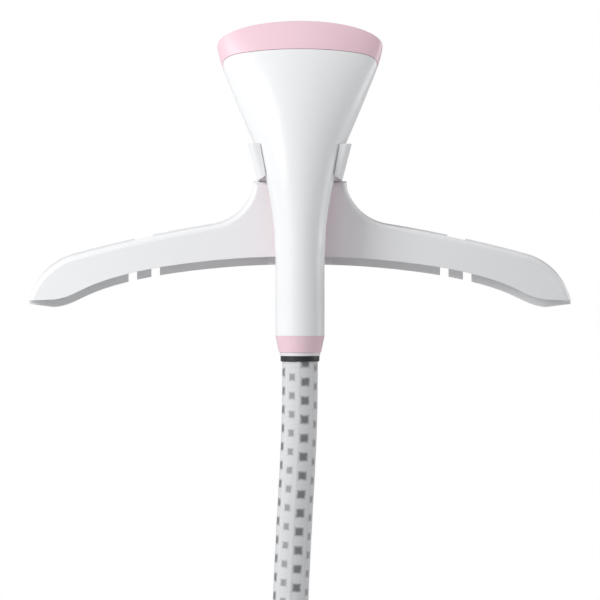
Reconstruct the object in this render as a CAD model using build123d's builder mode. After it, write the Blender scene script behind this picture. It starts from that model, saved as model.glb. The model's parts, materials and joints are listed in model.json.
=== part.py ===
"""Steam head of an upright garment steamer, hanging in its clothes-hanger bracket, with its sleeved hose.

Millimetres, +Z up, +X to the right, +Y from the steam head's rear cover towards the hanger's back plate.
The origin lies on the axis of the pole socket, level with the middle of the hanger's arms.
"""

from build123d import *
from math import cos, pi, radians, sin, tan
import os

os.makedirs("parts", exist_ok=True)

# Handset: a round handle that opens into an egg-shaped steam head, tilted towards +Y
handle_y = -38.0
handle_radius = 17.9
handle_bottom = -51.6
handle_top = 6.0
plate_tilt = 60.0
rim_height = 161.0
shell_wall = 2.2
rim_wall = 1.5
seam = 0.3

# Joint between the two shells, seen from the side: up the sides as y, z points,
# then round a corner and back under the rim band
part_line = [
    (-37.1, 6.0), (-37.0, 22.0), (-36.3, 41.0), (-34.4, 60.0), (-30.6, 79.0), (-25.6, 98.0),
    (-20.0, 116.0), (-15.2, 132.0),
]
band_corner = (-10.1, 150.2)
band_corner_round = 16.0
band_slope = 20.0

# Stations up the head: height, reach towards +Y, tilt, half width, depth to the back, depth to the front
stations = [
    (handle_top, 0.0, 0.0, handle_radius, handle_radius, handle_radius),
    (22.0, 0.1, 1.0, 18.6, 18.1, 18.0),
    (41.0, 0.8, 4.0, 20.7, 18.8, 18.0),
    (60.0, 2.5, 10.0, 24.2, 20.2, 18.1),
    (79.0, 5.6, 19.0, 29.6, 22.2, 17.6),
    (98.0, 9.8, 30.0, 37.4, 24.3, 18.2),
    (116.0, 14.2, 41.0, 44.9, 25.4, 20.2),
    (132.0, 18.7, 50.0, 51.2, 25.2, 23.2),
    (147.0, 23.2, 56.0, 56.9, 23.4, 27.2),
    (rim_height, 27.5, plate_tilt, 60.8, 21.0, 30.8),
]

# Soleplate and its steam holes, measured in the plate's own plane
plate_gap = 0.4
plate_proud = 0.8
plate_bottom = -2.2
plate_bevel = 0.5
hole_half_width = 3.0
hole_half_height = 3.8
hole_bevel = 0.5
hole_centres = [
    (-23.5, -2.6), (-7.85, -3.6), (7.85, -3.6), (23.5, -2.6),
    (-28.4, 9.5), (-14.2, 8.9), (0.0, 8.6), (14.2, 8.9), (28.4, 9.5),
    (-38.8, 3.2), (38.8, 3.2),
]

# Steam way behind the soleplate: levels are measured from the rim, insets from the head's outside
seal_bottom = -3.4
flange_bottom = -5.4
ledge_bottom = -6.9
chamber_bottom = -20.0
chamber_wall = 2.0
seal_inset = 3.2
seal_width = 5.2
flange_inset = 2.9
ledge_inset = 4.2
cup_inset = 9.6
baffle_level = -12.6
baffle_thickness = 1.0
baffle_gap = 0.4
baffle_hole = 1.3
baffle_grid_centre = (0.0, 12.0)
baffle_pitch = (7.0, 6.0)
baffle_grid = (9, 3)
post_radius = 2.0
post_spots = [(-26.0, 15.0), (26.0, 15.0), (-14.0, 27.0), (14.0, 27.0)]
chamber_screw_spots = [(-52.0, 5.0), (52.0, 5.0), (-30.0, -7.8), (30.0, -7.8), (-33.0, 22.5), (33.0, 22.5)]
chamber_screw_radius = 1.1
chamber_screw_head = 1.6
chamber_screw_tip = -1.2
chamber_screw_head_height = 1.3
spigot_y = handle_y + 17.0
spigot_bottom = 110.0
spigot_top = 150.0
spigot_radius = 4.6
steam_bore = 3.0
pipe_inner = 4.8
pipe_outer = 6.8
pipe_top = 122.0
pipe_bottom = -34.0
pipe_bend_high = 96.0
pipe_bend_low = 44.0
pipe_bend_radius = 45.0
clamp_outer = 8.3
clamp_width = 7.0
clamp_high = 112.0
clamp_low = -28.0
insulator_outer = 15.2
insulator_inner = 8.8
insulator_bottom = -19.0
insulator_top = 30.0

# Screws, caps and catch of the handset
cap_x = 27.8
cap_z = 108.0
cap_radius = 6.0
cap_gap = 0.2
cap_thickness = 1.8
boss_radius = 7.6
boss_floor_y = handle_y + 14.0
boss_floor = 2.0
post_top_gap = 0.2
shell_post_radius = 4.0
shell_screw_radius = 1.3
shell_screw_head = 3.2
shell_screw_head_height = 2.4
shell_screw_tip_y = handle_y + 2.0
catch_top = 131.4
catch_height = 3.6
catch_top_width = 10.5
catch_bottom_width = 8.0
catch_depth = 1.4
catch_recess = 0.5
catch_gap = 0.25

# Fittings at the hose end of the handle
collar_bottom = -63.7
collar_end_radius = 15.4
collar_spigot_top = -37.0
collar_spigot_radius = 15.5
collar_bore = 13.4
ferrule_radius = 14.7
ferrule_bottom = -66.2
ferrule_top = -44.0
ferrule_stem_radius = 13.2
ferrule_bore = 7.8
ring_bottom = -70.3
ring_radius = 14.2
ring_nose = 0.4
ring_nose_length = 0.6
hose_radius = 13.1
hose_clearance = 0.1
barb_bottom = -61.0
barb_stem_radius = 7.6
barb_flange_radius = 13.0
barb_flange_bottom = -43.5
barb_flange_top = -40.5
barb_top = -12.0
barb_radius = pipe_inner - 0.1
barb_nose = 1.0
barb_nose_length = 2.0

# Hose route, from the handle down to the loop and back to the tie, then to the connector
hose_end_x = -10.0
hose_end_y = -70.0
hose_end_z = -495.0
hose_points = [
    (0.0, handle_y, ferrule_bottom),
    (0.0, handle_y, -102.0),
    (-1.6, handle_y, -144.0),
    (-4.7, handle_y, -196.0),
    (-7.8, handle_y, -264.0),
    (-9.7, handle_y, -372.0),
    (hose_end_x, -39.5, -508.0),
    (78.0, -44.0, -592.0),
    (202.0, -48.5, -593.0),
    (290.0, -53.0, -506.0),
    (291.0, -57.5, -381.0),
    (203.0, -62.0, -289.0),
    (79.0, -66.5, -286.0),
    (hose_end_x, hose_end_y, -370.0),
    (hose_end_x, hose_end_y, hose_end_z),
]
arc_share = 0.45

# Tie round the two strands
tie_top = -428.0
tie_height = 22.0
tie_thickness = 1.6
tie_slack = 0.3
tie_clasp_share = 0.7

# Connector at the hose's far end
cuff_top = hose_end_z + 22.0
cuff_top_radius = 14.4
cuff_radius = 16.0
cuff_bottom = hose_end_z - 6.0
connector_shoulder = hose_end_z - 22.0
connector_radius = 16.4
neck_radius = 10.0
nut_top = hose_end_z - 22.6
nut_lip_bottom = hose_end_z - 27.0
nut_bottom = hose_end_z - 54.0
nut_radius = 17.6
nut_inner = 14.6
nut_bore = 10.08
nut_ribs = 18
nut_rib_radius = 1.3
nut_edge = 1.0
nut_rib_root = 0.5
flange_top = hose_end_z - 27.6
flange_end = hose_end_z - 31.0
flange_radius = 13.2
spigot_pin_radius = 8.5
spigot_pin_end = hose_end_z - 68.0
spigot_nose = 1.0
connector_bore = 5.0
seal_levels = (hose_end_z - 58.0, hose_end_z - 63.0)
groove_radius = 7.2
groove_half_height = 1.2
ring_section = 0.71

# Hanger outline, right half, seen along +Y
arm_half_span = 200.7
neck_half_width = 34.3
neck_top = 62.0
neck_root = (34.8, 56.0)
arm_arc = [(64.0, 29.8), (116.0, 20.0), (168.0, 7.4)]
tip_arc_middle = (191.0, -7.6)
tip_low = -26.0
arm_under = [(182.0, -25.2), (158.0, -16.6), (129.0, -6.8), (68.0, 3.2), (0.0, 6.5)]
under_tangents = [(-1.0, 0.1), (-1.0, 0.0)]
under_slope = 0.21
hanger_front_y = -15.6
tip_front_y = 5.0
bow_overhang = 6.0
hollow_drop = 3.0
back_plate_y = 13.2
back_plate_thickness = 2.4
hanger_wall = 2.4
top_round = 4.2
flange_rise = 1.5
flange_drop = 5.6
notch_width = 6.4
notch_depth = 9.0
notch_centres = (107.0, 124.0)
strap_notch_width = 13.5
strap_notch_depth = 5.5
strap_notch_centre = 116.0
rib_thickness = 1.6
rib_centres = (29.0, 78.0, 138.0, 172.0)
rib_gap = 0.3
rib_lift = 2.0
notch_round = 1.2
strap_notch_floor = 17.0
flange_tip_drop = 2.4
arm_line_height = 14.0
arm_line_slope = 0.14

# Pole socket
pole_bore = 9.6
bush_outer = 10.9
socket_bore = 10.95
socket_outer = 13.0
socket_bottom = -16.0
bush_top = 35.0
bush_bottom = -18.0
bush_mouth = 1.0
socket_top = 38.0
bush_fit = 0.05
bush_head_room = 0.1
lug_half_span = 24.0
lug_low = 2.0
lug_high = 16.0
lug_thickness = 3.0

# Cradle
cradle_low = 62.0
ear_bottom = 62.6
ear_top = 88.4
ear_low_half_width = 31.0
ear_high_half_width = 37.8
ear_front_y = handle_y - 3.0
ear_round = 5.0
ear_gap = [(23.5, 60.2), (29.7, 62.3), (24.5, 65.6)]
ear_gap_back_y = -13.4
cradle_clearance = 0.7
cradle_back_y = -5.0
pad_clearance = 0.35
tongue_half_width = 16.0
tongue_bottom = 41.0
tongue_wall = 3.0
tongue_front_y = -12.8
cradle_foot_back_y = 13.0
slot_gap = 0.3
pad_seat = 0.05
pad_pocket = 1.85
pad_x = 30.0
pad_y = handle_y + 10.0
pad_z = 77.0
pad_width = 24.0
pad_depth = 16.0
pad_height = 17.0

# Screws through the back plate: x, z
hanger_screw_spots = [(-150.0, -3.0), (-54.0, 17.0), (54.0, 17.0), (150.0, -3.0)]
socket_screw_spots = [(-19.0, 9.0), (19.0, 9.0)]
cradle_screw_spots = [(-10.0, 50.0), (10.0, 50.0)]
back_screw_radius = 1.4
back_screw_head = 2.9
back_screw_head_height = 1.8
back_screw_length = 9.0
hanger_boss_radius = 3.6

# Shared allowances: how far a cut runs past a face, how far a screw shank clears its hole,
# and spans that are larger than the whole part
cut_margin = 1.0
screw_fit = 0.05
far_y = 60.0
slab_span = 160.0


def station_plane(height, reach, tilt, lift=0.0):
    """The plane of one cross-section: +x stays +X and +y points forwards and down."""
    across = Vector(0, sin(radians(tilt)), cos(radians(tilt)))
    centre = Vector(0, handle_y + reach, height) + across * lift
    return Plane(origin=centre, x_dir=(1, 0, 0), z_dir=across)


def rim_plane(lift=0.0):
    """A plane parallel to the soleplate; lift is positive outwards."""
    height, reach, tilt, *_ = stations[-1]
    return station_plane(height, reach, tilt, lift)


def egg(half_width, back, front):
    """A closed egg outline: two half-ellipses that share their widest line."""
    EllipticalCenterArc((0, 0), half_width, front, start_angle=0, arc_size=180)
    EllipticalCenterArc((0, 0), half_width, back, start_angle=180, arc_size=180)


def handset_body(inset, rim_inset):
    """The handset's outer form, shrunk by inset (or grown, where inset is negative)."""
    with BuildPart() as body:
        for height, reach, tilt, half_width, back, front in stations:
            shrink = rim_inset if height == rim_height else inset
            with BuildSketch(station_plane(height, reach, tilt)):
                with BuildLine():
                    egg(half_width - shrink, back - shrink, front - shrink)
                make_face()
        loft()
        with BuildSketch(Plane((0, handle_y, handle_bottom))):
            Circle(handle_radius - inset)
        extrude(amount=handle_top - handle_bottom)
    return body.part


def rim_slab(low, high):
    """A slab parallel to the soleplate, wider than the head."""
    with BuildPart() as slab:
        with BuildSketch(rim_plane(low)):
            Rectangle(slab_span, slab_span)
        extrude(amount=high - low)
    return slab.part


def head_slice(inset, low, high):
    """The part of the shrunk head that lies between two levels below the rim."""
    with BuildPart() as piece:
        add(handset_body(inset, inset))
        add(rim_slab(low, high), mode=Mode.INTERSECT)
    return piece.part


def turned(points, centre=(0, handle_y)):
    """A profile of (radius, height) points, turned about an upright axis."""
    x, y = centre
    with BuildPart() as body:
        with BuildSketch(Plane(origin=(x, y, 0), x_dir=(1, 0, 0), z_dir=(0, -1, 0))):
            with BuildLine():
                Polyline(*points, close=True)
            make_face()
        revolve(axis=Axis((x, y, 0), (0, 0, 1)))
    return body.part


def sleeve(outer, inner, low, high, centre=(0, handle_y)):
    """A plain round sleeve."""
    return turned([(inner, low), (outer, low), (outer, high), (inner, high)], centre)


def y_rods(spots, radius, low_y, high_y):
    """Round rods along Y, from low_y to high_y, at each (x, z) spot."""
    with BuildPart() as rods:
        with BuildSketch(Plane.XZ.offset(-high_y)):
            with Locations(*spots):
                Circle(radius)
        extrude(amount=high_y - low_y)
    return rods.part


def write(part, name):
    part.label = name
    export_step(part, f"parts/{name}.step")


# ---------------------------------------------------------------- handset shells
handset_outer = handset_body(0.0, 0.0)
handset_inner = handset_body(shell_wall, rim_wall)
cap_spots = [(-cap_x, cap_z), (cap_x, cap_z)]
boss_seat_y = boss_floor_y + boss_floor


def rear_zone(gap):
    """Everything behind the parting line and below the rim band, as a block."""
    low_z = handle_bottom - cut_margin
    line = [Vector(y - gap, z) for y, z in part_line]
    corner = Vector(band_corner[0] - gap, band_corner[1] - gap)
    back_y = handle_y - far_y
    band_end = Vector(back_y, corner.Y + (corner.X - back_y) * tan(radians(band_slope)))
    start = Vector(line[0].X, low_z)
    with BuildPart() as zone:
        with BuildSketch(Plane.YZ):
            with BuildLine():
                Line(start, line[0])
                Spline(*line, tangents=[(0, 1), corner - line[-1]])
                FilletPolyline(line[-1], corner, band_end, radius=band_corner_round)
                Polyline(band_end, (back_y, low_z), start)
            make_face()
        extrude(amount=2 * far_y, both=True)
    return zone.part


def catch_block(gap):
    """The trapezium of the brush catch, extruded along Y through the front wall."""
    with BuildPart() as block:
        with BuildSketch(Plane.XZ.offset(-far_y)):
            with BuildLine():
                Polyline(
                    (-catch_top_width / 2 + gap, catch_top - gap),
                    (catch_top_width / 2 - gap, catch_top - gap),
                    (catch_bottom_width / 2 - gap, catch_top - catch_height + gap),
                    (-catch_bottom_width / 2 + gap, catch_top - catch_height + gap),
                    close=True,
                )
            make_face()
        extrude(amount=far_y)
    return block.part


with BuildPart() as front_bosses:
    add(y_rods(cap_spots, boss_radius, boss_floor_y, far_y))
    add(handset_outer, mode=Mode.INTERSECT)

with BuildPart() as ledge:
    add(head_slice(0.5, ledge_bottom, flange_bottom))
    add(handset_body(ledge_inset, ledge_inset), mode=Mode.SUBTRACT)

with BuildPart() as catch_pocket:
    add(catch_block(0.0))
    add(handset_body(catch_depth, rim_wall), mode=Mode.SUBTRACT)

with BuildPart() as front_shell:
    add(handset_outer)
    add(handset_inner, mode=Mode.SUBTRACT)
    add(rear_zone(0.0), mode=Mode.SUBTRACT)
    add(front_bosses)
    add(y_rods(cap_spots, cap_radius + cap_gap, boss_seat_y, far_y), mode=Mode.SUBTRACT)
    add(y_rods(cap_spots, shell_screw_radius + cap_gap, handle_y, far_y), mode=Mode.SUBTRACT)
    add(ledge)
    add(catch_pocket, mode=Mode.SUBTRACT)
write(front_shell.part, "front_shell")

with BuildPart() as rear_posts:
    add(y_rods(cap_spots, shell_post_radius, -2 * far_y, boss_floor_y - post_top_gap))
    add(handset_outer, mode=Mode.INTERSECT)
    add(y_rods(cap_spots, shell_screw_radius, handle_y + cut_margin, boss_floor_y), mode=Mode.SUBTRACT)

with BuildPart() as rear_cover:
    add(handset_outer)
    add(handset_inner, mode=Mode.SUBTRACT)
    add(rear_zone(seam), mode=Mode.INTERSECT)
    add(rear_posts)
write(rear_cover.part, "rear_cover")

for side, x in (("left", -cap_x), ("right", cap_x)):
    with BuildPart() as screw_cap:
        add(y_rods([(x, cap_z)], cap_radius, boss_seat_y + shell_screw_head_height + cut_margin, far_y))
        add(handset_outer, mode=Mode.INTERSECT)
        add(handset_body(cap_thickness, cap_thickness), mode=Mode.SUBTRACT)
    write(screw_cap.part, f"screw_cap_{side}")

with BuildPart() as brush_catch:
    add(catch_block(catch_gap))
    add(handset_body(catch_recess, catch_recess), mode=Mode.INTERSECT)
    add(handset_body(catch_depth, catch_depth), mode=Mode.SUBTRACT)
write(brush_catch.part, "brush_catch")

with BuildPart() as shell_screws:
    add(y_rods(cap_spots, shell_screw_radius - screw_fit, shell_screw_tip_y, boss_seat_y))
    add(y_rods(cap_spots, shell_screw_head, boss_seat_y, boss_seat_y + shell_screw_head_height))
write(shell_screws.part, "shell_screws")

# ---------------------------------------------------------------- soleplate and steam way
plate_inset = rim_wall + plate_gap
*_, rim_half_width, rim_back, rim_front = stations[-1]


def plate_outline(inset):
    """The soleplate's outline, shrunk by inset from the head's outside."""
    egg(rim_half_width - inset, rim_back - inset, rim_front - inset)


with BuildPart() as soleplate:
    for level, inset in (
        (0.0, plate_inset),
        (plate_proud - plate_bevel, plate_inset),
        (plate_proud, plate_inset + plate_bevel),
    ):
        with BuildSketch(rim_plane(level)):
            with BuildLine():
                plate_outline(inset)
            make_face()
    loft(ruled=True)
    add(head_slice(plate_inset + shell_wall - rim_wall, plate_bottom, 0.0))
    with BuildSketch(rim_plane(plate_bottom - cut_margin)):
        with Locations(*hole_centres):
            Ellipse(hole_half_width, hole_half_height)
    extrude(amount=plate_proud - plate_bottom + 2 * cut_margin, mode=Mode.SUBTRACT)
    for spot in hole_centres:
        with BuildSketch(rim_plane(plate_proud - hole_bevel)):
            with Locations(spot):
                Ellipse(hole_half_width, hole_half_height)
        with BuildSketch(rim_plane(plate_proud)):
            with Locations(spot):
                Ellipse(hole_half_width + hole_bevel, hole_half_height + hole_bevel)
        loft(mode=Mode.SUBTRACT)
    with BuildSketch(rim_plane(plate_bottom)):
        with Locations(*chamber_screw_spots):
            Circle(chamber_screw_radius)
    extrude(amount=chamber_screw_tip - plate_bottom, mode=Mode.SUBTRACT)
write(soleplate.part, "soleplate")

with BuildPart() as soleplate_seal:
    add(head_slice(seal_inset, seal_bottom, plate_bottom))
    add(handset_body(seal_inset + seal_width, seal_inset + seal_width), mode=Mode.SUBTRACT)
    with BuildSketch(rim_plane(seal_bottom)):
        with Locations(*chamber_screw_spots):
            Circle(chamber_screw_radius)
    extrude(amount=plate_bottom - seal_bottom, mode=Mode.SUBTRACT)
write(soleplate_seal.part, "soleplate_seal")

steam_axis = (0, spigot_y)
cavity_inset = cup_inset + chamber_wall

with BuildPart() as steam_chamber:
    add(head_slice(flange_inset, flange_bottom, seal_bottom))
    add(head_slice(cup_inset, chamber_bottom, seal_bottom))
    add(sleeve(spigot_radius, 0.0, spigot_bottom, spigot_top, steam_axis))
    add(head_slice(cavity_inset, chamber_bottom + chamber_wall, seal_bottom), mode=Mode.SUBTRACT)
    add(rim_slab(seal_bottom, far_y), mode=Mode.SUBTRACT)
    with BuildSketch(rim_plane(chamber_bottom + chamber_wall)):
        with Locations(*post_spots):
            Circle(post_radius)
    extrude(amount=baffle_level - chamber_bottom - chamber_wall)
    add(sleeve(steam_bore, 0.0, spigot_bottom, spigot_top, steam_axis), mode=Mode.SUBTRACT)
    with BuildSketch(rim_plane(flange_bottom)):
        with Locations(*chamber_screw_spots):
            Circle(chamber_screw_radius)
    extrude(amount=seal_bottom - flange_bottom, mode=Mode.SUBTRACT)
write(steam_chamber.part, "steam_chamber")

with BuildPart() as chamber_baffle:
    baffle_inset = cavity_inset + baffle_gap
    add(head_slice(baffle_inset, baffle_level, baffle_level + baffle_thickness))
    with BuildSketch(rim_plane(baffle_level)):
        with Locations(baffle_grid_centre):
            with GridLocations(*baffle_pitch, *baffle_grid):
                Circle(baffle_hole)
    extrude(amount=baffle_thickness, mode=Mode.SUBTRACT)
write(chamber_baffle.part, "chamber_baffle")

with BuildPart() as chamber_screws:
    with BuildSketch(rim_plane(flange_bottom - chamber_screw_head_height)):
        with Locations(*chamber_screw_spots):
            Circle(chamber_screw_head)
    extrude(amount=chamber_screw_head_height)
    with BuildSketch(rim_plane(flange_bottom)):
        with Locations(*chamber_screw_spots):
            Circle(chamber_screw_radius - screw_fit)
    extrude(amount=chamber_screw_tip - flange_bottom)
write(chamber_screws.part, "chamber_screws")

with BuildPart() as steam_pipe:
    with BuildLine() as pipe_path:
        FilletPolyline(
            (0, spigot_y, pipe_top),
            (0, spigot_y, pipe_bend_high),
            (0, handle_y, pipe_bend_low),
            (0, handle_y, pipe_bottom),
            radius=pipe_bend_radius,
        )
    with BuildSketch(Plane(origin=(0, spigot_y, pipe_top), z_dir=(0, 0, -1))):
        Circle(pipe_outer)
        Circle(pipe_inner, mode=Mode.SUBTRACT)
    sweep(path=pipe_path.line)
write(steam_pipe.part, "steam_pipe")

with BuildPart() as pipe_clamps:
    add(sleeve(clamp_outer, pipe_outer + screw_fit, clamp_high, clamp_high + clamp_width, steam_axis))
    add(sleeve(clamp_outer, pipe_outer + screw_fit, clamp_low, clamp_low + clamp_width))
write(pipe_clamps.part, "pipe_clamps")

handle_insulator = sleeve(insulator_outer, insulator_inner, insulator_bottom, insulator_top)
write(handle_insulator, "handle_insulator")

hose_barb = turned([
    (steam_bore, barb_bottom),
    (barb_stem_radius, barb_bottom),
    (barb_stem_radius, barb_flange_bottom),
    (barb_flange_radius, barb_flange_bottom),
    (barb_flange_radius, barb_flange_top),
    (barb_radius, barb_flange_top),
    (barb_radius, barb_top - barb_nose_length),
    (barb_radius - barb_nose, barb_top),
    (steam_bore, barb_top),
])
write(hose_barb, "hose_barb")

# ---------------------------------------------------------------- handle end
end_collar = turned([
    (collar_bore, collar_bottom),
    (collar_end_radius, collar_bottom),
    (handle_radius, handle_bottom),
    (collar_spigot_radius, handle_bottom),
    (collar_spigot_radius, collar_spigot_top),
    (collar_bore, collar_spigot_top),
])
write(end_collar, "end_collar")

hose_ferrule = turned([
    (ferrule_bore, ferrule_bottom),
    (ferrule_radius, ferrule_bottom),
    (ferrule_radius, collar_bottom),
    (ferrule_stem_radius, collar_bottom),
    (ferrule_stem_radius, ferrule_top),
    (ferrule_bore, ferrule_top),
])
write(hose_ferrule, "hose_ferrule")

hose_ring = turned([
    (hose_radius + hose_clearance, ring_bottom),
    (ring_radius - ring_nose, ring_bottom),
    (ring_radius, ring_bottom + ring_nose_length),
    (ring_radius, ferrule_bottom),
    (hose_radius + hose_clearance, ferrule_bottom),
])
write(hose_ring, "hose_ring")

# ---------------------------------------------------------------- hose
route = [Vector(*point) for point in hose_points]
bend_radii = []
for before, corner, after in zip(route, route[1:], route[2:]):
    turn = radians((corner - before).get_angle(after - corner))
    shorter = min((corner - before).length, (after - corner).length)
    bend_radii.append(arc_share * shorter / tan(turn / 2))
print("bend radii", [round(radius) for radius in bend_radii])

with BuildPart() as hose_tube:
    with BuildLine() as hose_path:
        hose_line = FilletPolyline(*hose_points, radius=bend_radii)
    with BuildSketch(Plane(origin=hose_path.line @ 0, z_dir=hose_path.line % 0)):
        Circle(hose_radius)
    sweep(path=hose_path.line)
hose_section = hose_tube.part.volume / hose_line.length
print("hose length", round(hose_line.length))
print("hose section", round(hose_section, 1), "of", round(pi * hose_radius**2, 1))
write(hose_tube.part, "hose_tube")

connector_axis = (hose_end_x, hose_end_y)
strand_gap = handle_y - hose_end_y
tie_mid_y = (handle_y + hose_end_y) / 2
tie_inner = hose_radius + tie_slack

with BuildPart() as hose_tie:
    with BuildSketch(Plane((hose_end_x, tie_mid_y, tie_top - tie_height))):
        SlotCenterToCenter(strand_gap, 2 * (tie_inner + tie_thickness), rotation=90)
        SlotCenterToCenter(strand_gap, 2 * tie_inner, rotation=90, mode=Mode.SUBTRACT)
        with Locations((-tie_inner - tie_thickness, 0)):
            Rectangle(2 * tie_thickness, strand_gap * tie_clasp_share, align=(Align.MAX, Align.CENTER))
    extrude(amount=tie_height)
write(hose_tie.part, "hose_tie")

connector_cuff = turned([
    (hose_radius + hose_clearance, cuff_top),
    (cuff_top_radius, cuff_top),
    (cuff_radius, cuff_bottom),
    (connector_bore, cuff_bottom),
    (connector_bore, hose_end_z),
    (hose_radius + hose_clearance, hose_end_z),
], connector_axis)
write(connector_cuff, "connector_cuff")

body_points = [
    (connector_bore, cuff_bottom),
    (connector_radius, cuff_bottom),
    (connector_radius, connector_shoulder),
    (neck_radius, connector_shoulder),
    (neck_radius, flange_top),
    (flange_radius, flange_top),
    (flange_radius, flange_end),
    (spigot_pin_radius, flange_end),
]
for level in seal_levels:
    body_points += [
        (spigot_pin_radius, level + groove_half_height),
        (groove_radius, level + groove_half_height),
        (groove_radius, level - groove_half_height),
        (spigot_pin_radius, level - groove_half_height),
    ]
body_points += [
    (spigot_pin_radius, spigot_pin_end + spigot_nose),
    (spigot_pin_radius - spigot_nose, spigot_pin_end),
    (connector_bore, spigot_pin_end),
]
connector_body = turned(body_points, connector_axis)
write(connector_body, "connector_body")

with BuildPart() as connector_seals:
    for level in seal_levels:
        ring_centre = (hose_end_x, hose_end_y, level)
        with Locations(ring_centre):
            Torus(groove_radius + ring_section, ring_section)
write(connector_seals.part, "connector_seals")

with BuildPart() as coupling_nut:
    add(turned([
        (nut_bore, nut_top),
        (nut_radius - nut_edge, nut_top),
        (nut_radius, nut_top - nut_edge),
        (nut_radius, nut_bottom + nut_edge),
        (nut_radius - nut_edge, nut_bottom),
        (nut_inner, nut_bottom),
        (nut_inner, nut_lip_bottom),
        (nut_bore, nut_lip_bottom),
    ], connector_axis))
    with BuildSketch(Plane((hose_end_x, hose_end_y, nut_bottom + nut_edge))):
        with PolarLocations(nut_radius, nut_ribs):
            Circle(nut_rib_radius)
        Circle(nut_radius - nut_rib_root, mode=Mode.SUBTRACT)
    extrude(amount=nut_top - nut_bottom - 2 * nut_edge)
write(coupling_nut.part, "coupling_nut")

# ---------------------------------------------------------------- hanger
def half_outline(rise, drop, tip_drop):
    """The curves round the right half of the hanger, seen along +Y; rise and drop widen it."""
    root = Vector(*neck_root) + Vector(0, rise)
    shoulder, middle, outer = [Vector(*point) + Vector(0, rise) for point in arm_arc]
    tip = Vector(arm_half_span, tip_low - tip_drop)
    under = [Vector(*point) - Vector(0, drop) for point in arm_under]
    Polyline((0, neck_top), (neck_half_width, neck_top), root)
    arm = ThreePointArc(shoulder, middle, outer)
    TangentArc(shoulder, root, tangent=-(arm % 0))
    ThreePointArc(outer, Vector(*tip_arc_middle) + Vector(0, rise), tip)
    Line(tip, under[0])
    Spline(*under, tangents=under_tangents)
    Line(under[-1], (0, neck_top))


def back_edge_height(x):
    """The height of the back plate's lower edge near the notches."""
    _, _, (edge_x, edge_z), *_ = arm_under
    return edge_z - flange_drop + (edge_x - x) * under_slope


def hanger_slab(low_y, high_y, rise, drop, tip_drop, inset=0.0):
    """The hanger's outline, or a copy shrunk by inset, as a slab between two depths."""
    with BuildPart() as slab:
        with BuildSketch(Plane.XZ.offset(-high_y)):
            with BuildLine():
                half_outline(rise, drop, tip_drop)
            make_face()
            mirror(about=Plane.YZ)
            if inset:
                offset(amount=-inset, kind=Kind.INTERSECTION)
        extrude(amount=high_y - low_y)
    return slab.part


def bowed_block(inset):
    """A block whose front bows away from the middle towards the arm tips, seen from above."""
    wide = arm_half_span + bow_overhang
    with BuildPart() as block:
        with BuildSketch(Plane.XY.offset(-far_y)):
            with BuildLine():
                ThreePointArc(
                    (-wide, tip_front_y + inset),
                    (0, hanger_front_y + inset),
                    (wide, tip_front_y + inset),
                )
                Polyline(
                    (wide, tip_front_y + inset),
                    (wide, back_plate_y),
                    (-wide, back_plate_y),
                    (-wide, tip_front_y + inset),
                )
            make_face()
        extrude(amount=2 * far_y + neck_top)
    return block.part


def hanger_hollow(inset):
    """The space inside the hanger, open below and behind."""
    with BuildPart() as hollow:
        add(hanger_slab(hanger_front_y, back_plate_y, 0.0, 0.0, 0.0, inset))
        add(hollow.part.moved(Location((0, 0, -hollow_drop * inset))))
        add(bowed_block(inset), mode=Mode.INTERSECT)
    return hollow.part


def is_top_edge(edge):
    """True for the hanger's upper edges, whose middle lies above the arms' sloping centre line."""
    middle = edge.center()
    return middle.Z > arm_line_height - arm_line_slope * abs(middle.X)


with BuildPart() as ear_gaps:
    with BuildSketch(Plane.XZ.offset(-ear_gap_back_y)):
        with BuildLine():
            Polyline(*ear_gap, close=True)
        make_face()
        mirror(about=Plane.YZ)
    extrude(amount=far_y)

all_back_spots = hanger_screw_spots + socket_screw_spots + cradle_screw_spots

with BuildPart() as hanger_bosses:
    add(y_rods(hanger_screw_spots, hanger_boss_radius, hanger_front_y, back_plate_y))
    add(bowed_block(hanger_wall / 2), mode=Mode.INTERSECT)

with BuildPart() as hanger_ribs:
    add(hanger_hollow(hanger_wall / 2))
    with BuildSketch(Plane.XZ.offset(rib_gap - back_plate_y)):
        for rib_x in rib_centres:
            with Locations((-rib_x, 0), (rib_x, 0)):
                Rectangle(rib_thickness, 4 * neck_top)
    extrude(amount=far_y, mode=Mode.INTERSECT)
    add(hanger_slab(hanger_front_y, back_plate_y, 0.0, -rib_lift, 0.0), mode=Mode.INTERSECT)

with BuildPart() as hanger_front:
    add(hanger_slab(hanger_front_y - cut_margin, back_plate_y, 0.0, 0.0, 0.0))
    add(bowed_block(0.0), mode=Mode.INTERSECT)
    front_face = hanger_front.faces().sort_by(Axis.Y)[0]
    fillet(front_face.edges().filter_by(is_top_edge), top_round)
    add(hanger_hollow(hanger_wall), mode=Mode.SUBTRACT)
    add(hanger_bosses)
    add(hanger_ribs)
    add(ear_gaps, mode=Mode.SUBTRACT)
    screw_reach_y = back_plate_y - back_screw_length
    add(y_rods(hanger_screw_spots, back_screw_radius, screw_reach_y, far_y), mode=Mode.SUBTRACT)
    with Locations((0, back_plate_y, neck_top)):
        Box(
            2 * tongue_half_width + 2 * slot_gap,
            back_plate_y - tongue_front_y + slot_gap,
            4 * hanger_wall,
            align=(Align.CENTER, Align.MAX, Align.CENTER),
            mode=Mode.SUBTRACT,
        )
write(hanger_front.part, "hanger_front")

back_face_y = back_plate_y + back_plate_thickness

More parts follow.
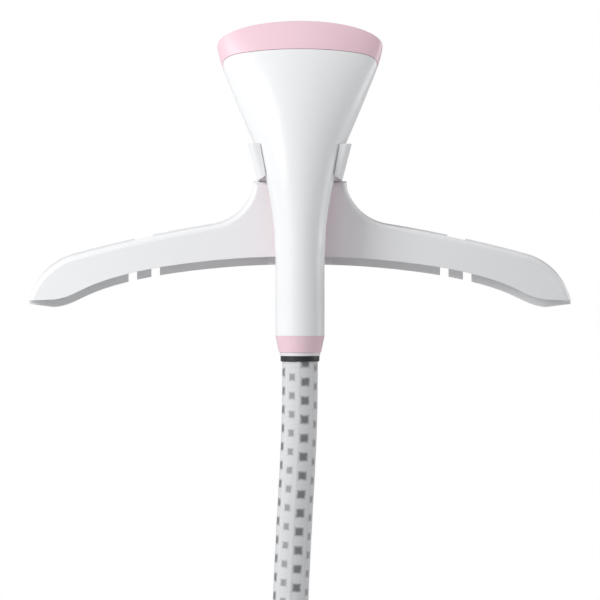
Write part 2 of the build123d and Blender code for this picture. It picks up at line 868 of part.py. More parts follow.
with BuildPart() as hanger_back:
    add(hanger_slab(back_plate_y, back_face_y, flange_rise, flange_drop, flange_tip_drop))
    with BuildSketch(Plane.XZ.offset(-far_y)):
        for side in (-1, 1):
            for notch_x in notch_centres:
                with Locations((side * notch_x, back_edge_height(notch_x))):
                    RectangleRounded(notch_width, 2 * notch_depth, notch_round)
            with Locations((side * strap_notch_centre, strap_notch_floor)):
                Rectangle(strap_notch_width, 4 * strap_notch_depth, align=(Align.CENTER, Align.MIN))
    extrude(amount=2 * far_y, mode=Mode.SUBTRACT)
    add(y_rods(all_back_spots, back_screw_radius, back_plate_y - cut_margin, far_y), mode=Mode.SUBTRACT)
write(hanger_back.part, "hanger_back")

# ---------------------------------------------------------------- pole socket
with BuildPart() as pole_socket:
    add(sleeve(socket_outer, 0.0, socket_bottom, socket_top, (0, 0)))
    with Locations((0, back_plate_y, lug_low)):
        Box(
            2 * lug_half_span,
            lug_thickness,
            lug_high - lug_low,
            align=(Align.CENTER, Align.MAX, Align.MIN),
        )
    add(sleeve(socket_bore, 0.0, socket_bottom, bush_top, (0, 0)), mode=Mode.SUBTRACT)
    add(y_rods(socket_screw_spots, back_screw_radius, 0.0, far_y), mode=Mode.SUBTRACT)
write(pole_socket.part, "pole_socket")

pole_bush = turned([
    (pole_bore, bush_bottom + bush_mouth),
    (pole_bore + bush_mouth, bush_bottom),
    (socket_outer, bush_bottom),
    (socket_outer, socket_bottom - bush_fit),
    (bush_outer, socket_bottom - bush_fit),
    (bush_outer, bush_top - bush_head_room),
    (pole_bore, bush_top - bush_head_room),
], (0, 0))
write(pole_bush, "pole_bush")

# ---------------------------------------------------------------- cradle
def pad_block(x, pocket, smaller):
    """The space of one cradle pad, in a pocket this deep beyond the handset's outside."""
    with BuildPart() as block:
        add(handset_body(-pocket, -pocket))
        with Locations((x, pad_y, pad_z)):
            Box(pad_width - smaller, pad_depth - smaller, pad_height - smaller, mode=Mode.INTERSECT)
    return block.part


with BuildPart() as cradle:
    for level, half_width in ((cradle_low, ear_low_half_width), (ear_top, ear_high_half_width)):
        with BuildSketch(Plane.XY.offset(level)):
            with Locations((0, ear_front_y)):
                RectangleRounded(
                    2 * half_width,
                    cradle_back_y - ear_front_y,
                    ear_round,
                    align=(Align.CENTER, Align.MIN),
                )
    loft()
    add(handset_body(-cradle_clearance, -cradle_clearance), mode=Mode.SUBTRACT)
    with Locations((0, hanger_front_y, ear_bottom)):
        Box(slab_span, far_y, far_y, align=(Align.CENTER, Align.MAX, Align.MAX), mode=Mode.SUBTRACT)
    add(ear_gaps, mode=Mode.SUBTRACT)
    with Locations((0, tongue_front_y, tongue_bottom)):
        Box(
            2 * tongue_half_width,
            cradle_foot_back_y - tongue_front_y,
            cradle_low - tongue_bottom + cut_margin,
            align=(Align.CENTER, Align.MIN, Align.MIN),
        )
    with Locations((0, (tongue_front_y + back_plate_y) / 2, tongue_bottom)):
        Box(
            2 * (tongue_half_width - tongue_wall),
            cradle_foot_back_y - tongue_front_y - 2 * tongue_wall,
            2 * (cradle_low - tongue_bottom - tongue_wall),
            mode=Mode.SUBTRACT,
        )
    add(y_rods(cradle_screw_spots, back_screw_radius, 0.0, far_y), mode=Mode.SUBTRACT)
    add(pad_block(-pad_x, pad_pocket, 0.0), mode=Mode.SUBTRACT)
    add(pad_block(pad_x, pad_pocket, 0.0), mode=Mode.SUBTRACT)
write(cradle.part, "cradle")

for side, x in (("left", -pad_x), ("right", pad_x)):
    with BuildPart() as cradle_pad:
        add(pad_block(x, pad_pocket - pad_seat, 2 * pad_seat))
        add(handset_body(-pad_clearance, -pad_clearance), mode=Mode.SUBTRACT)
    write(cradle_pad.part, f"cradle_pad_{side}")


# ---------------------------------------------------------------- screws in the back plate
def back_screws(spots, name):
    """Pan-head screws along Y, with their heads on the back plate's rear face."""
    with BuildPart() as screws:
        tip_y = back_face_y - back_screw_length
        add(y_rods(spots, back_screw_radius - screw_fit, tip_y, back_face_y))
        add(y_rods(spots, back_screw_head, back_face_y, back_face_y + back_screw_head_height))
    write(screws.part, name)


back_screws(hanger_screw_spots, "hanger_screws")
back_screws(socket_screw_spots, "socket_screws")
back_screws(cradle_screw_spots, "cradle_screws")
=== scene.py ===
"""Looks of the garment steamer head in its hanger bracket, with its sleeved hose.

Lengths are in metres, in the CAD's frame.
"""

import json
from math import cos, pi, radians, sin, sqrt

import bmesh
import bpy
import numpy as np
from mathutils import Matrix, Vector


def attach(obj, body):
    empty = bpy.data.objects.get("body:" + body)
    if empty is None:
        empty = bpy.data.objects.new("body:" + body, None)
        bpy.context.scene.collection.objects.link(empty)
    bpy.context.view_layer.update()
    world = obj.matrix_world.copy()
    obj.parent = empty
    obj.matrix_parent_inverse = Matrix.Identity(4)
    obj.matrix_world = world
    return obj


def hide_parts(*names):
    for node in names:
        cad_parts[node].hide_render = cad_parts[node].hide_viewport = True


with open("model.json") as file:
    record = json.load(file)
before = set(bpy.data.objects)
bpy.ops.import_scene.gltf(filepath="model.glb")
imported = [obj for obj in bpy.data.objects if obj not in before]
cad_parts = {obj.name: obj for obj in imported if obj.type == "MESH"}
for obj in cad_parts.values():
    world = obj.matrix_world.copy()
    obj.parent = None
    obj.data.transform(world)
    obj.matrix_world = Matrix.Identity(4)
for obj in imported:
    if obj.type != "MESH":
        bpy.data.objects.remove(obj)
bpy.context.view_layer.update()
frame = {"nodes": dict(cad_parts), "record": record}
nodes = frame["nodes"]
scene = bpy.context.scene
scene.view_settings.view_transform = "Standard"
scene.view_settings.look = "None"

# ---------------------------------------------------------------- camera
FIELD = 0.4415
LENS = 250.0
SENSOR = 36.0
AIM = Vector((0.0, -0.010, -0.0255))
camera = bpy.data.objects.new("camera", bpy.data.cameras.new("camera"))
camera.data.lens = LENS
camera.data.sensor_width = SENSOR
camera.location = AIM - Vector((0.0, FIELD * LENS / SENSOR, 0.0))
camera.rotation_euler = (pi / 2, 0.0, 0.0)
scene.collection.objects.link(camera)
scene.camera = camera


# ---------------------------------------------------------------- node helpers
class Graph:
    """Short names for building a node material."""

    def __init__(self, name):
        self.material = bpy.data.materials.new(name)
        self.material.use_nodes = True
        self.tree = self.material.node_tree
        self.shader = self.tree.nodes["Principled BSDF"]

    def node(self, kind, **settings):
        made = self.tree.nodes.new(kind)
        for key, value in settings.items():
            setattr(made, key, value)
        return made

    def put(self, value, socket):
        """Links a socket, or sets a plain number or colour."""
        if isinstance(value, bpy.types.NodeSocket):
            self.tree.links.new(value, socket)
        else:
            socket.default_value = value

    def math(self, operation, *values, clamp=False):
        made = self.node("ShaderNodeMath", operation=operation, use_clamp=clamp)
        for value, socket in zip(values, made.inputs):
            self.put(value, socket)
        return made.outputs[0]

    def ramp(self, value, low, high, to_low=0.0, to_high=1.0):
        made = self.node("ShaderNodeMapRange", interpolation_type="SMOOTHSTEP")
        for item, socket in zip((value, low, high, to_low, to_high), made.inputs):
            self.put(item, socket)
        return made.outputs[0]

    def mix(self, share, first, second):
        made = self.node("ShaderNodeMix", data_type="RGBA")
        self.put(share, made.inputs[0])
        self.put(first, made.inputs[6])
        self.put(second, made.inputs[7])
        return made.outputs[2]

    def place(self):
        return self.node("ShaderNodeTexCoord").outputs["Object"]

    def noise(self, place, scale, detail=2.0, rough=0.5):
        made = self.node("ShaderNodeTexNoise")
        self.put(place, made.inputs["Vector"])
        made.inputs["Scale"].default_value = scale
        made.inputs["Detail"].default_value = detail
        made.inputs["Roughness"].default_value = rough
        return made.outputs["Fac"]

    def cells(self, place, scale):
        made = self.node("ShaderNodeTexVoronoi")
        self.put(place, made.inputs["Vector"])
        made.inputs["Scale"].default_value = scale
        return made.outputs["Distance"]

    def bump(self, height, distance, strength=1.0, edge=0.0):
        """Fine relief; edge is the radius to which sharp edges are softened."""
        made = self.node("ShaderNodeBump")
        if edge:
            soft = self.node("ShaderNodeBevel", samples=4)
            soft.inputs["Radius"].default_value = edge
            self.put(soft.outputs[0], made.inputs["Normal"])
        made.inputs["Strength"].default_value = strength
        made.inputs["Distance"].default_value = distance
        self.put(height, made.inputs["Height"])
        self.put(made.outputs[0], self.shader.inputs["Normal"])

    def set(self, **values):
        for key, value in values.items():
            self.put(value, self.shader.inputs[key.replace("_", " ")])


EDGE = 0.0004


def shade(colour, factor):
    return (*(min(1.0, channel * factor) for channel in colour), 1.0)


def plastic(name, colour, rough, grain=0.000006, mottle=0.012):
    """Moulded plastic: faint colour drift, uneven gloss and a fine moulded grain."""
    g = Graph(name)
    place = g.place()
    drift = g.noise(place, 18.0, 3.0)
    fine = g.noise(place, 900.0, 3.0, 0.6)
    g.set(
        Base_Color=g.mix(drift, shade(colour, 1.0 - mottle), shade(colour, 1.0 + mottle)),
        Roughness=g.ramp(g.noise(place, 14.0, 2.0), 0.3, 0.7, rough - 0.012, rough + 0.018),
    )
    g.bump(fine, grain, edge=EDGE)
    return g.material


def rubber(name, colour, rough=0.7):
    """Matte rubber or silicone with a dusty, slightly pitted surface."""
    g = Graph(name)
    place = g.place()
    dust = g.ramp(g.noise(place, 120.0, 5.0, 0.65), 0.45, 0.75)
    g.set(
        Base_Color=g.mix(dust, shade(colour, 0.92), shade(colour, 1.12)),
        Roughness=g.ramp(dust, 0.0, 1.0, rough - 0.08, rough + 0.08),
    )
    g.bump(g.noise(place, 1400.0, 3.0, 0.7), 0.00004)
    return g.material


def metal(name, colour, rough):
    """Turned or plated metal with fine scratches."""
    g = Graph(name)
    place = g.place()
    marks = g.noise(place, 700.0, 4.0, 0.7)
    g.set(
        Base_Color=g.mix(marks, shade(colour, 0.9), shade(colour, 1.08)),
        Metallic=1.0,
        Roughness=g.ramp(marks, 0.3, 0.7, rough - 0.06, rough + 0.1),
    )
    g.bump(marks, 0.00001)
    return g.material


def coated_plate(name, colour):
    """The soleplate's satin coating: fine mineral flecks under a soft sheen."""
    g = Graph(name)
    place = g.place()
    fleck = g.ramp(g.cells(place, 1500.0), 0.08, 0.35, 1.0, 0.0)
    cloud = g.noise(place, 35.0, 4.0)
    base = g.mix(cloud, shade(colour, 0.94), shade(colour, 1.06))
    g.set(
        Base_Color=g.mix(g.math("MULTIPLY", fleck, 0.25), base, shade(colour, 1.7)),
        Metallic=0.15,
        Roughness=g.ramp(cloud, 0.3, 0.7, 0.38, 0.48),
    )
    g.bump(g.noise(place, 1800.0, 2.0), 0.000015)
    return g.material


def webbing(name, colour):
    """Woven strap: a tight rib weave with a slight fuzz."""
    g = Graph(name)
    place = g.place()
    split = g.node("ShaderNodeSeparateXYZ")
    g.put(place, split.inputs[0])
    around = g.math("ADD", split.outputs[0], split.outputs[1])
    warp = g.math("SINE", g.math("MULTIPLY", around, 2 * pi / 0.0012))
    weft = g.math("SINE", g.math("MULTIPLY", split.outputs[2], 2 * pi / 0.0016))
    weave = g.math("MULTIPLY_ADD", g.math("MULTIPLY", warp, weft), 0.5, 0.5)
    # painted shade and highlight: the colour is darker in the weave's dips and lighter on its raised threads
    g.set(
        Base_Color=g.mix(weave, shade(colour, 0.7), shade(colour, 1.5)),
        Roughness=0.85,
        Sheen_Weight=0.3,
        Sheen_Roughness=0.5,
    )
    g.bump(weave, 0.00025)
    return g.material


MARK_PITCH = 0.0136
MARK_LAG = 0.25
MARK_START = 0.38
COLUMNS = 8
THREAD_ROUND_MM = 0.86
THREAD_ALONG_MM = 0.92
PALE_HALF_MM = (2.5, 2.7)
DARK_EXTRA_MM = (0.9, 0.5)


def sleeve_cloth(name, diameter):
    """The hose's braided sleeve: a fine light weave with helical rows of dark woven squares.

    Works in the tube's own map: x runs once round, y along it in metres.
    """
    g = Graph(name)
    across_mm = pi * diameter * 1000
    split = g.node("ShaderNodeSeparateXYZ")
    g.put(g.node("ShaderNodeUVMap", uv_map="sleeve").outputs[0], split.inputs[0])
    around, along = split.outputs[0], split.outputs[1]
    column = g.math("MULTIPLY", around, float(COLUMNS))
    index = g.math("FLOOR", column)
    x_mm = g.math("MULTIPLY", g.math("SUBTRACT", g.math("FRACT", column), 0.5), across_mm / COLUMNS)
    lag = g.math("MULTIPLY_ADD", index, MARK_LAG, -MARK_START)
    row = g.math("ADD", g.math("DIVIDE", along, MARK_PITCH), lag)
    y_mm = g.math("MULTIPLY", g.math("SUBTRACT", g.math("FRACT", row), 0.5), MARK_PITCH * 1000)
    even = g.math("LESS_THAN", g.math("MODULO", index, 2.0), 0.5)

    # threads, about 0.9 mm apart both ways
    threads_round = round(across_mm / THREAD_ROUND_MM)
    u_thread = g.math("MULTIPLY", around, threads_round * pi)
    v_thread = g.math("MULTIPLY", along, pi * 1000 / THREAD_ALONG_MM)
    warp = g.math("ABSOLUTE", g.math("SINE", u_thread))
    weft = g.math("ABSOLUTE", g.math("SINE", v_thread))
    sign = g.math("MULTIPLY", g.math("COSINE", u_thread), g.math("COSINE", v_thread))
    over = g.math("GREATER_THAN", sign, 0.0)
    under = g.math("SUBTRACT", 1.0, over)
    lift = g.math("ADD", g.math("MULTIPLY", over, warp), g.math("MULTIPLY", under, weft))
    fuzz = g.noise(g.place(), 2600.0, 3.0, 0.7)

    # every second column has larger, darker marks
    half_x, half_y = (
        g.math("ADD", pale, g.math("MULTIPLY", even, extra)) for pale, extra in zip(PALE_HALF_MM, DARK_EXTRA_MM)
    )
    edge_x = g.math("DIVIDE", g.math("ABSOLUTE", x_mm), half_x)
    edge_y = g.math("DIVIDE", g.math("ABSOLUTE", y_mm), half_y)
    reach = g.math("MAXIMUM", edge_x, edge_y)
    wander = g.math("MULTIPLY", g.math("SUBTRACT", g.noise(g.place(), 420.0, 2.0), 0.5), 0.5)
    ragged = g.math("ADD", reach, g.math("MULTIPLY", g.math("SUBTRACT", lift, 0.5), 0.3))
    mark = g.ramp(g.math("ADD", ragged, wander), 0.62, 1.3, 1.0, 0.0)
    strength = g.math("ADD", 0.60, g.math("MULTIPLY", even, 0.26))
    worn = g.math("MULTIPLY", mark, g.math("MULTIPLY", strength, g.ramp(lift, 0.1, 0.9, 0.78, 1.0)))

    # a painted highlight: a pale line along the crest of each lengthwise rib between the columns
    border = g.math("ABSOLUTE", g.math("SUBTRACT", g.math("ABSOLUTE", x_mm), across_mm / COLUMNS / 2))
    painted_rib_highlight = g.ramp(border, 0.2, 0.75, 1.0, 0.0)
    # painted shade: the ground is darker where the threads dip and lighter where they rise
    ground = g.mix(g.ramp(lift, 0.0, 0.9), (0.60, 0.60, 0.61, 1.0), (0.90, 0.90, 0.91, 1.0))
    ground = g.mix(g.math("MULTIPLY", g.ramp(fuzz, 0.35, 0.7), 0.2), ground, (0.62, 0.62, 0.63, 1.0))
    ground = g.mix(g.math("MULTIPLY", painted_rib_highlight, 0.5), ground, (0.88, 0.88, 0.89, 1.0))
    g.set(
        Base_Color=g.mix(worn, ground, (0.075, 0.077, 0.08, 1.0)),
        Roughness=0.72,
        Sheen_Weight=0.25,
        Sheen_Roughness=0.4,
    )
    height = g.math("ADD", lift, g.math("MULTIPLY", fuzz, 0.35))
    g.bump(height, 0.00022)
    return g.material


# ---------------------------------------------------------------- hose
HOSE_RADIUS = 0.0131
HANDLE_Y = -0.038
HOSE_EXIT = (0.0, HANDLE_Y, -0.0662)
HOSE_ROUTE = [
    HOSE_EXIT,
    (0.0, HANDLE_Y, -0.102),
    (-0.0016, HANDLE_Y, -0.144),
    (-0.0047, HANDLE_Y, -0.196),
    (-0.0078, HANDLE_Y, -0.264),
    (-0.0097, HANDLE_Y, -0.372),
    (-0.010, -0.0395, -0.508),
    (0.078, -0.044, -0.592),
    (0.202, -0.0485, -0.593),
    (0.290, -0.053, -0.506),
    (0.291, -0.0575, -0.381),
    (0.203, -0.062, -0.289),
    (0.079, -0.0665, -0.286),
    (-0.010, -0.070, -0.370),
    (-0.010, -0.070, -0.495),
]
SIDES = 96
RING_STEP = 0.0018
RIB_HEIGHT = 0.00028
RIB_REACH = 0.12
RIPPLE = 0.00004
RIPPLE_LENGTH = 0.0046
ROUTE_STEPS = 40
COLUMN_START = radians(-49.5)


def smooth_route(points):
    """Points read along the NURBS spline whose control points are the route's."""
    curve = bpy.data.curves.new("hose_route", "CURVE")
    curve.dimensions = "3D"
    curve.resolution_u = ROUTE_STEPS
    spline = curve.splines.new("NURBS")
    spline.points.add(len(points) - 1)
    for made, point in zip(spline.points, points):
        made.co = (*point, 1.0)
    spline.order_u = 3
    spline.use_endpoint_u = True
    carrier = bpy.data.objects.new("hose_route", curve)
    line = bpy.data.meshes.new_from_object(carrier)
    path = [vertex.co.copy() for vertex in line.vertices]
    bpy.data.objects.remove(carrier)
    return path


def evenly(path, step):
    """The same line, divided into equal steps, and the distance to each point."""
    co = np.array(path)
    gaps = np.linalg.norm(np.diff(co, axis=0), axis=1)
    run = np.concatenate([[0.0], np.cumsum(gaps)])
    count = int(run[-1] / step)
    at = np.linspace(0.0, run[-1], count + 1)
    return np.stack([np.interp(at, run, co[:, axis]) for axis in range(3)], axis=1), at


def tube(name, line, along, radius_at, sides, start_side):
    """A tube round a line. radius_at(angle, distance) gives its radius; its map runs round and along."""
    tangents = np.gradient(line, axis=0)
    tangents /= np.linalg.norm(tangents, axis=1)[:, None]
    side = Vector(start_side)
    rings = []
    for point, tangent in zip(line, tangents):
        t = Vector(tangent)
        side = (side - t * side.dot(t)).normalized()
        rings.append((Vector(point), side.copy(), t.cross(side).normalized()))
    verts = []
    for (point, side, other), distance in zip(rings, along):
        for k in range(sides):
            angle = 2 * pi * k / sides
            r = radius_at(angle, distance)
            verts.append(point + side * (cos(angle) * r) + other * (sin(angle) * r))
    faces = []
    for i in range(len(rings) - 1):
        for k in range(sides):
            n = (k + 1) % sides
            faces.append((i * sides + k, i * sides + n, (i + 1) * sides + n, (i + 1) * sides + k))
    faces.append(tuple(range(sides))[::-1])
    last = (len(rings) - 1) * sides
    faces.append(tuple(range(last, last + sides)))
    mesh = bpy.data.meshes.new(name)
    mesh.from_pydata([tuple(v) for v in verts], [], faces)
    layer = mesh.uv_layers.new(name="sleeve")
    for polygon in mesh.polygons:
        wraps = any(v % sides == sides - 1 for v in polygon.vertices) and any(
            v % sides == 0 for v in polygon.vertices
        )
        for corner, v in zip(polygon.loop_indices, polygon.vertices):
            k = v % sides
            u = 1.0 if wraps and k == 0 and len(polygon.vertices) == 4 else k / sides
            layer.data[corner].uv = (u, along[v // sides])
        polygon.use_smooth = len(polygon.vertices) == 4
    made = bpy.data.objects.new(name, mesh)
    scene.collection.objects.link(made)
    return made


def sleeve_radius(angle, distance):
    """Slight lengthwise ribs between the columns of marks, and a soft ripple along the sleeve."""
    border = (angle * COLUMNS / (2 * pi)) % 1.0
    rib = max(0.0, 1.0 - min(border, 1.0 - border) / RIB_REACH)
    ripple = RIPPLE * sin(distance / RIPPLE_LENGTH) * sin(angle * 2)
    return HOSE_RADIUS - RIB_HEIGHT - RIPPLE + RIB_HEIGHT * rib * rib * (3 - 2 * rib) + ripple


hose_path = smooth_route(HOSE_ROUTE)
hose_line, hose_along = evenly(hose_path, RING_STEP)
first_side = (sin(COLUMN_START), -cos(COLUMN_START), 0.0)
hose = tube("hose_sleeve", hose_line, hose_along, sleeve_radius, SIDES, first_side)
hose.data.materials.append(sleeve_cloth("sleeve_cloth", 2 * HOSE_RADIUS))
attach(hose, "handset")
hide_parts("hose_tube")

# ---------------------------------------------------------------- pieces made from a bmesh
CRISP_ANGLE = radians(35)


def finished(name, form, body):
    """An object from a bmesh, riding a body: smooth faces, with the sharper edges kept crisp."""
    bmesh.ops.recalc_face_normals(form, faces=form.faces)
    mesh = bpy.data.meshes.new(name)
    form.to_mesh(mesh)
    form.free()
    made = bpy.data.objects.new(name, mesh)
    scene.collection.objects.link(made)
    for polygon in mesh.polygons:
        polygon.use_smooth = True
    mesh.set_sharp_from_angle(angle=CRISP_ANGLE)
    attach(made, body)
    return made


# ---------------------------------------------------------------- cross-recess screws of the back plate
PLATE_REAR_Y = 0.0156
SCREW_LENGTH = 0.009
SHANK_RADIUS = 0.00135
THREAD_DEPTH = 0.0002
THREAD_PITCH = 0.0008
HEAD_RADIUS = 0.0029
HEAD_HEIGHT = 0.0018
CROSS_HALF_WIDTH = 0.0004
CROSS_REACH = 0.0017
CROSS_DEPTH = 0.0009
CROSS_TAPER = 0.55
HEAD_RIM = 0.0009
HEAD_CHAMFER = 0.0002
RIM_STEPS = 0.25
HEAD_STEPS = 26
TURN = 72
TURN_STEP = 0.7


def cross_depth(x, z):
    """How deep the cross recess is under a point of the head."""
    across, along = min(abs(x), abs(z)), max(abs(x), abs(z))
    if across > CROSS_HALF_WIDTH or along > CROSS_REACH:
        return 0.0
    return CROSS_DEPTH * (1.0 - CROSS_TAPER * along / CROSS_REACH)


def screw_profile():
    """(radius, height) from the tip to the head's middle; heights start at the head's seat."""
    profile = [(0.0, -SCREW_LENGTH), (SHANK_RADIUS - 2 * THREAD_DEPTH, -SCREW_LENGTH)]
    count = int(SCREW_LENGTH / THREAD_PITCH)
    for k in range(count):
        low = -SCREW_LENGTH + (k + 0.25) * THREAD_PITCH
        profile += [
            (SHANK_RADIUS - THREAD_DEPTH, low),
            (SHANK_RADIUS, low + 0.25 * THREAD_PITCH),
            (SHANK_RADIUS - THREAD_DEPTH, low + 0.5 * THREAD_PITCH),
        ]
    profile += [
        (SHANK_RADIUS - THREAD_DEPTH, 0.0),
        (HEAD_RADIUS - HEAD_CHAMFER, 0.0),
        (HEAD_RADIUS, HEAD_CHAMFER),
    ]
    for k in range(HEAD_STEPS + 1):
        share = k / HEAD_STEPS
        if share < RIM_STEPS:
            radius = HEAD_RADIUS * cos(share * pi / 2)
        else:
            radius = HEAD_RADIUS * 0.9239 * (1 - share) / (1 - RIM_STEPS)
        rise = sqrt(max(0.0, 1.0 - (radius / HEAD_RADIUS) ** 4))
        profile.append((radius, HEAD_RIM + (HEAD_HEIGHT - HEAD_RIM) * rise))
    return profile


def screws(name, spots):
    """Pan-head screws at (x, z) spots, heads towards +Y, each turned to its own angle."""
    form = bmesh.new()
    profile = screw_profile()
    for number, (x, z) in enumerate(spots):
        lean = number * TURN_STEP
        rings = []
        for radius, height in profile:
            ring = []
            for k in range(TURN if radius else 1):
                angle = 2 * pi * k / TURN
                u, v = radius * cos(angle), radius * sin(angle)
                dip = cross_depth(u, v) if height > HEAD_HEIGHT / 2 else 0.0
                across, up = u * cos(lean) - v * sin(lean), u * sin(lean) + v * cos(lean)
                ring.append(form.verts.new((x + across, PLATE_REAR_Y + height - dip, z + up)))
            rings.append(ring)
        for first, second in zip(rings, rings[1:]):
            for k in range(TURN):
                n = (k + 1) % TURN
                corners = [first[k % len(first)], first[n % len(first)]]
                corners += [second[n % len(second)], second[k % len(second)]]
                form.faces.new(list(dict.fromkeys(corners)))
    return finished(name, form, "hanger")


SCREW_SETS = {
    "hanger_screws": [(-0.150, -0.003), (-0.054, 0.017), (0.054, 0.017), (0.150, -0.003)],
    "socket_screws": [(-0.019, 0.009), (0.019, 0.009)],
    "cradle_screws": [(-0.010, 0.050), (0.010, 0.050)],
}
screw_pieces = []
for node, spots in SCREW_SETS.items():
    made = screws(f"{node}_crossed", spots)
    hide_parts(node)
    screw_pieces.append(made)


# ---------------------------------------------------------------- strap round the two strands
STRAP_TOP = -0.428
STRAP_HEIGHT = 0.022
STRAP_THICKNESS = 0.0015
STRAP_INNER = 0.01345
TAIL_START = 0.10
TAIL_END = 0.42
TAIL_LIFT = STRAP_THICKNESS * 1.03
TAIL_TIP = 0.07
TAIL_TIP_LIFT = 0.0006
STRAP_STEPS = 120
TAIL_STEPS = 48
CORNER_STEPS = 4
SWAY = 0.00025
SWAY_WAVES = 3
WIDTH_WAVE = 0.01
WIDTH_WAVES = 19
STITCH_LENGTH = 0.0009
STITCH_WIDTH = 0.00028
STITCH_RISE = 0.00026
STITCH_LIFT = STRAP_THICKNESS * 1.52
STITCH_EDGE = 0.0085
STITCH_STEP = 0.022
BOX_STEP = 0.0022
BOX_HALF = 0.0068
UP = Vector((0.0, 0.0, 1.0))

loop_bottom = int(np.argmin(hose_line[:, 2]))
loop_top = loop_bottom + int(np.argmax(hose_line[loop_bottom:, 2]))
tied_parts = (hose_line[: loop_bottom + 1], hose_line[loop_top:])


def strands(height):
    """Centres of the tied strands at a height: the one that hangs from the handle, then the far end's."""
    return [[float(np.interp(-height, -part[:, 2], part[:, axis])) for axis in (0, 1)] for part in tied_parts]


def strap_line(share, lift, up):
    """A point on the strap, share of the way round from the far strand's left side, and its outward side."""
    height = STRAP_TOP - STRAP_HEIGHT / 2 + up
    (near_x, near_y), (far_x, far_y) = strands(height)
    radius = STRAP_INNER + STRAP_THICKNESS / 2 + lift
    gap = near_y - far_y
    whole = 2 * gap + 2 * pi * radius
    at = (share % 1.0) * whole
    if at < gap:
        x = far_x + (near_x - far_x) * at / gap
        return Vector((x - radius, far_y + at, height)), Vector((-1.0, 0.0, 0.0))
    at -= gap
    if at < pi * radius:
        angle = pi - at / radius
        out = Vector((cos(angle), sin(angle), 0.0))
        return Vector((near_x, near_y, height)) + out * radius, out
    at -= pi * radius
    if at < gap:
        x = near_x + (far_x - near_x) * at / gap
        return Vector((x + radius, near_y - at, height)), Vector((1.0, 0.0, 0.0))
    angle = -(at - gap) / radius
    out = Vector((cos(angle), sin(angle), 0.0))
    return Vector((far_x, far_y, height)) + out * radius, out


def strap_section():
    """The strap's cross-section as (outwards, upwards), with rounded edges."""
    half_t, half_h = STRAP_THICKNESS / 2, STRAP_HEIGHT / 2
    round_ = half_t * 0.9
    corners = [(half_t, half_h), (-half_t, half_h), (-half_t, -half_h), (half_t, -half_h)]
    section = []
    for number, (x, y) in enumerate(corners):
        middle = (x - round_ * (1 if x > 0 else -1), y - round_ * (1 if y > 0 else -1))
        for k in range(CORNER_STEPS + 1):
            angle = pi / 2 * (number + k / CORNER_STEPS)
            section.append((middle[0] + round_ * cos(angle), middle[1] + round_ * sin(angle)))
    return section


def strap_band(form, start, end, lift_at, steps, closed):
    """One layer of the strap between two shares of the way round."""
    section = strap_section()
    rings = []
    for k in range(steps if closed else steps + 1):
        share = start + (end - start) * k / steps
        lift = lift_at((share - start) / (end - start))
        sway = SWAY * sin(share * 2 * pi * SWAY_WAVES)
        stretch = 1 - WIDTH_WAVE * sin(share * WIDTH_WAVES)
        ring = []
        for away, up in section:
            point, out = strap_line(share, lift, up * stretch + sway)
            ring.append(form.verts.new(point + out * away))
        rings.append(ring)
    pairs = list(zip(rings, rings[1:] + ([rings[0]] if closed else [])))
    for first, second in pairs:
        for k in range(len(section)):
            n = (k + 1) % len(section)
            form.faces.new((first[k], first[n], second[n], second[k]))
    if not closed:
        form.faces.new(rings[0])
        form.faces.new(rings[-1])


def strap_stitches(form):
    """Short raised stitches: a row along each edge of the tail, and two upright rows near its start."""
    shares = np.arange(TAIL_START + 0.03, TAIL_END - 0.02, STITCH_STEP)
    heights = np.arange(-BOX_HALF, BOX_HALF + 0.0002, BOX_STEP)
    level = [(share, up, False) for up in (-STITCH_EDGE, STITCH_EDGE) for share in shares]
    upright = [(share, up, True) for share in (TAIL_START + 0.02, TAIL_START + 0.10) for up in heights]
    for share, up, stands in level + upright:
        point, out = strap_line(share, STITCH_LIFT, up)
        sizes = (STITCH_LENGTH, STITCH_RISE, STITCH_WIDTH)
        if stands:
            sizes = sizes[::-1]
        turn = Matrix((out.cross(UP), out, UP)).transposed().to_4x4()
        place = Matrix.Translation(point) @ turn @ Matrix.Diagonal((*sizes, 1.0))
        bmesh.ops.create_icosphere(form, subdivisions=2, radius=1.0, matrix=place)


def tail_lift(share):
    """The tail lies on the strap, and its tip stands off slightly."""
    return TAIL_LIFT + TAIL_TIP_LIFT * max(0.0, share - (1 - TAIL_TIP)) / TAIL_TIP


strap_form = bmesh.new()
strap_band(strap_form, 0.0, 1.0, lambda share: 0.0, STRAP_STEPS, True)
strap_band(strap_form, TAIL_START, TAIL_END, tail_lift, TAIL_STEPS, False)
strap = finished("hose_strap", strap_form, "handset")
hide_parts("hose_tie")
stitch_form = bmesh.new()
strap_stitches(stitch_form)
stitches = finished("strap_stitches", stitch_form, "handset")

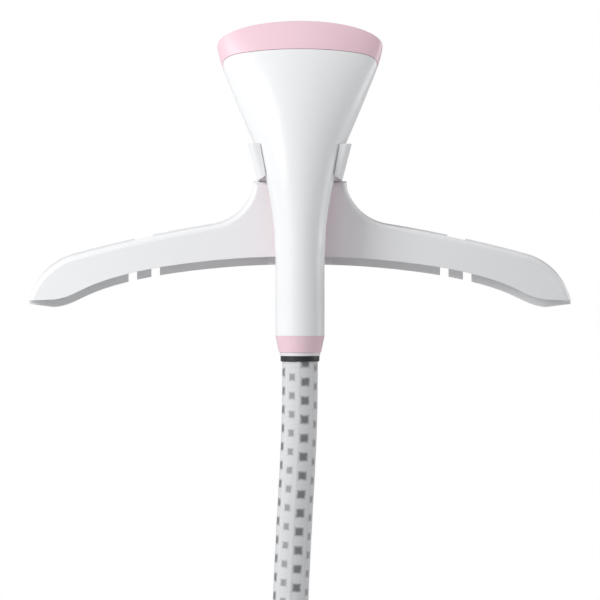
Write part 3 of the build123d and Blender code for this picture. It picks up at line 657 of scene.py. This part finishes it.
# ---------------------------------------------------------------- materials of the CAD nodes
finishes = {
    "shell_white": plastic("white_plastic", (0.88, 0.88, 0.885), 0.30),
    "shell_pink": plastic("pink_plastic", (0.885, 0.62, 0.69), 0.34),
    "collar_pink": plastic("collar_plastic", (0.84, 0.60, 0.665), 0.36),
    # painted highlight: the pale ferrule ring under the pink collar stands in for the highlight on the collar's
    # chamfer
    "ferrule_white": plastic("ferrule_painted_highlight", (0.80, 0.78, 0.79), 0.4),
    "hanger_white": plastic("hanger_plastic", (0.86, 0.86, 0.865), 0.33),
    # painted shade: the back plate is the same white plastic as the front, set darker so its strip under the
    # arms looks shaded
    "hanger_grey": plastic("hanger_back_plastic_painted_shade", (0.78, 0.78, 0.785), 0.42),
    "bush_grey": plastic("bush_plastic", (0.10, 0.10, 0.105), 0.45),
    "connector_dark": plastic("connector_plastic", (0.025, 0.025, 0.027), 0.42, grain=0.00004),
    "connector_grey": plastic("connector_body_plastic", (0.17, 0.17, 0.175), 0.4),
    "chamber_plastic": plastic("chamber_plastic", (0.57, 0.55, 0.48), 0.5),
    "insulator_foam": rubber("insulator_foam", (0.08, 0.08, 0.08), 0.8),
    "soleplate_grey": coated_plate("soleplate_coating", (0.155, 0.17, 0.18)),
    "silicone_seal": rubber("seal_silicone", (0.52, 0.08, 0.05), 0.6),
    "silicone_pipe": rubber("pipe_silicone", (0.60, 0.60, 0.57), 0.5),
    # painted shade: the near-black ring where the hose leaves the collar stands in for the shadowed gap under
    # the collar
    "ring_dark": rubber("collar_gap_painted_shade", (0.018, 0.018, 0.02), 0.55),
    "pad_rubber": rubber("pad_rubber", (0.26, 0.26, 0.27), 0.75),
    "tie_dark": webbing("tie_webbing", (0.03, 0.03, 0.033)),
    "screw_steel": metal("screw_steel", (0.55, 0.55, 0.56), 0.3),
    "barb_brass": metal("barb_brass", (0.62, 0.42, 0.16), 0.3),
}
for made in screw_pieces:
    made.data.materials.append(finishes["screw_steel"])
strap.data.materials.append(finishes["tie_dark"])
stitches.data.materials.append(webbing("stitch_thread", (0.16, 0.16, 0.165)))
for entry in frame["record"]["subparts"]:
    name, slot = entry["node"], entry["material_slot"]
    if slot in finishes:
        for holder in nodes[name].material_slots:
            holder.material = finishes[slot]


# ---------------------------------------------------------------- stage
FLOOR_RADIUS = 2.6
FLOOR_HEIGHT = -0.70


def floor_material():
    g = Graph("floor_paint")
    cloud = g.noise(g.place(), 1.5, 3.0)
    g.set(Base_Color=g.mix(cloud, (0.86, 0.86, 0.86, 1.0), (0.90, 0.90, 0.90, 1.0)), Roughness=0.7)
    return g.material


floor_mesh = bpy.data.meshes.new("floor")
floor_form = bmesh.new()
bmesh.ops.create_circle(floor_form, cap_ends=True, segments=96, radius=FLOOR_RADIUS)
floor_form.to_mesh(floor_mesh)
floor_form.free()
floor = bpy.data.objects.new("floor", floor_mesh)
floor.location = (0.0, 0.0, FLOOR_HEIGHT)
floor_mesh.materials.append(floor_material())
scene.collection.objects.link(floor)

SOFT_LEFT = 0.62
SOFT_RIGHT = 0.27
world = bpy.data.worlds.new("studio")
scene.world = world
world.use_nodes = True
air = world.node_tree
seen = air.nodes["Background"]
seen.inputs["Color"].default_value = (1.0, 1.0, 1.0, 1.0)
seen.inputs["Strength"].default_value = 1.0
soft = air.nodes.new("ShaderNodeBackground")
soft.inputs["Color"].default_value = (0.96, 0.98, 1.0, 1.0)
way_x = air.nodes.new("ShaderNodeSeparateXYZ")
air.links.new(air.nodes.new("ShaderNodeTexCoord").outputs["Generated"], way_x.inputs[0])
fade = air.nodes.new("ShaderNodeMapRange")
for value, socket in zip((-1.0, 1.0, SOFT_LEFT, SOFT_RIGHT), list(fade.inputs)[1:5]):
    socket.default_value = value
air.links.new(way_x.outputs[0], fade.inputs[0])
air.links.new(fade.outputs[0], soft.inputs["Strength"])
way = air.nodes.new("ShaderNodeLightPath")
choose = air.nodes.new("ShaderNodeMixShader")
air.links.new(way.outputs["Is Camera Ray"], choose.inputs[0])
air.links.new(soft.outputs[0], choose.inputs[1])
air.links.new(seen.outputs[0], choose.inputs[2])
air.links.new(choose.outputs[0], air.nodes["World Output"].inputs[0])


def lamp(name, place, size, power):
    """A soft square light that shines at the origin."""
    data = bpy.data.lights.new(name, "AREA")
    data.size = size
    data.energy = power
    made = bpy.data.objects.new(name, data)
    made.location = place
    made.rotation_euler = (-Vector(place)).to_track_quat("-Z", "Y").to_euler()
    scene.collection.objects.link(made)


lamp("key", (-1.55, -1.25, 0.75), 0.8, 24.5)
lamp("top", (0.0, -0.1, 1.8), 1.2, 8.0)
lamp("rim", (1.5, 0.35, 0.3), 0.6, 7.0)
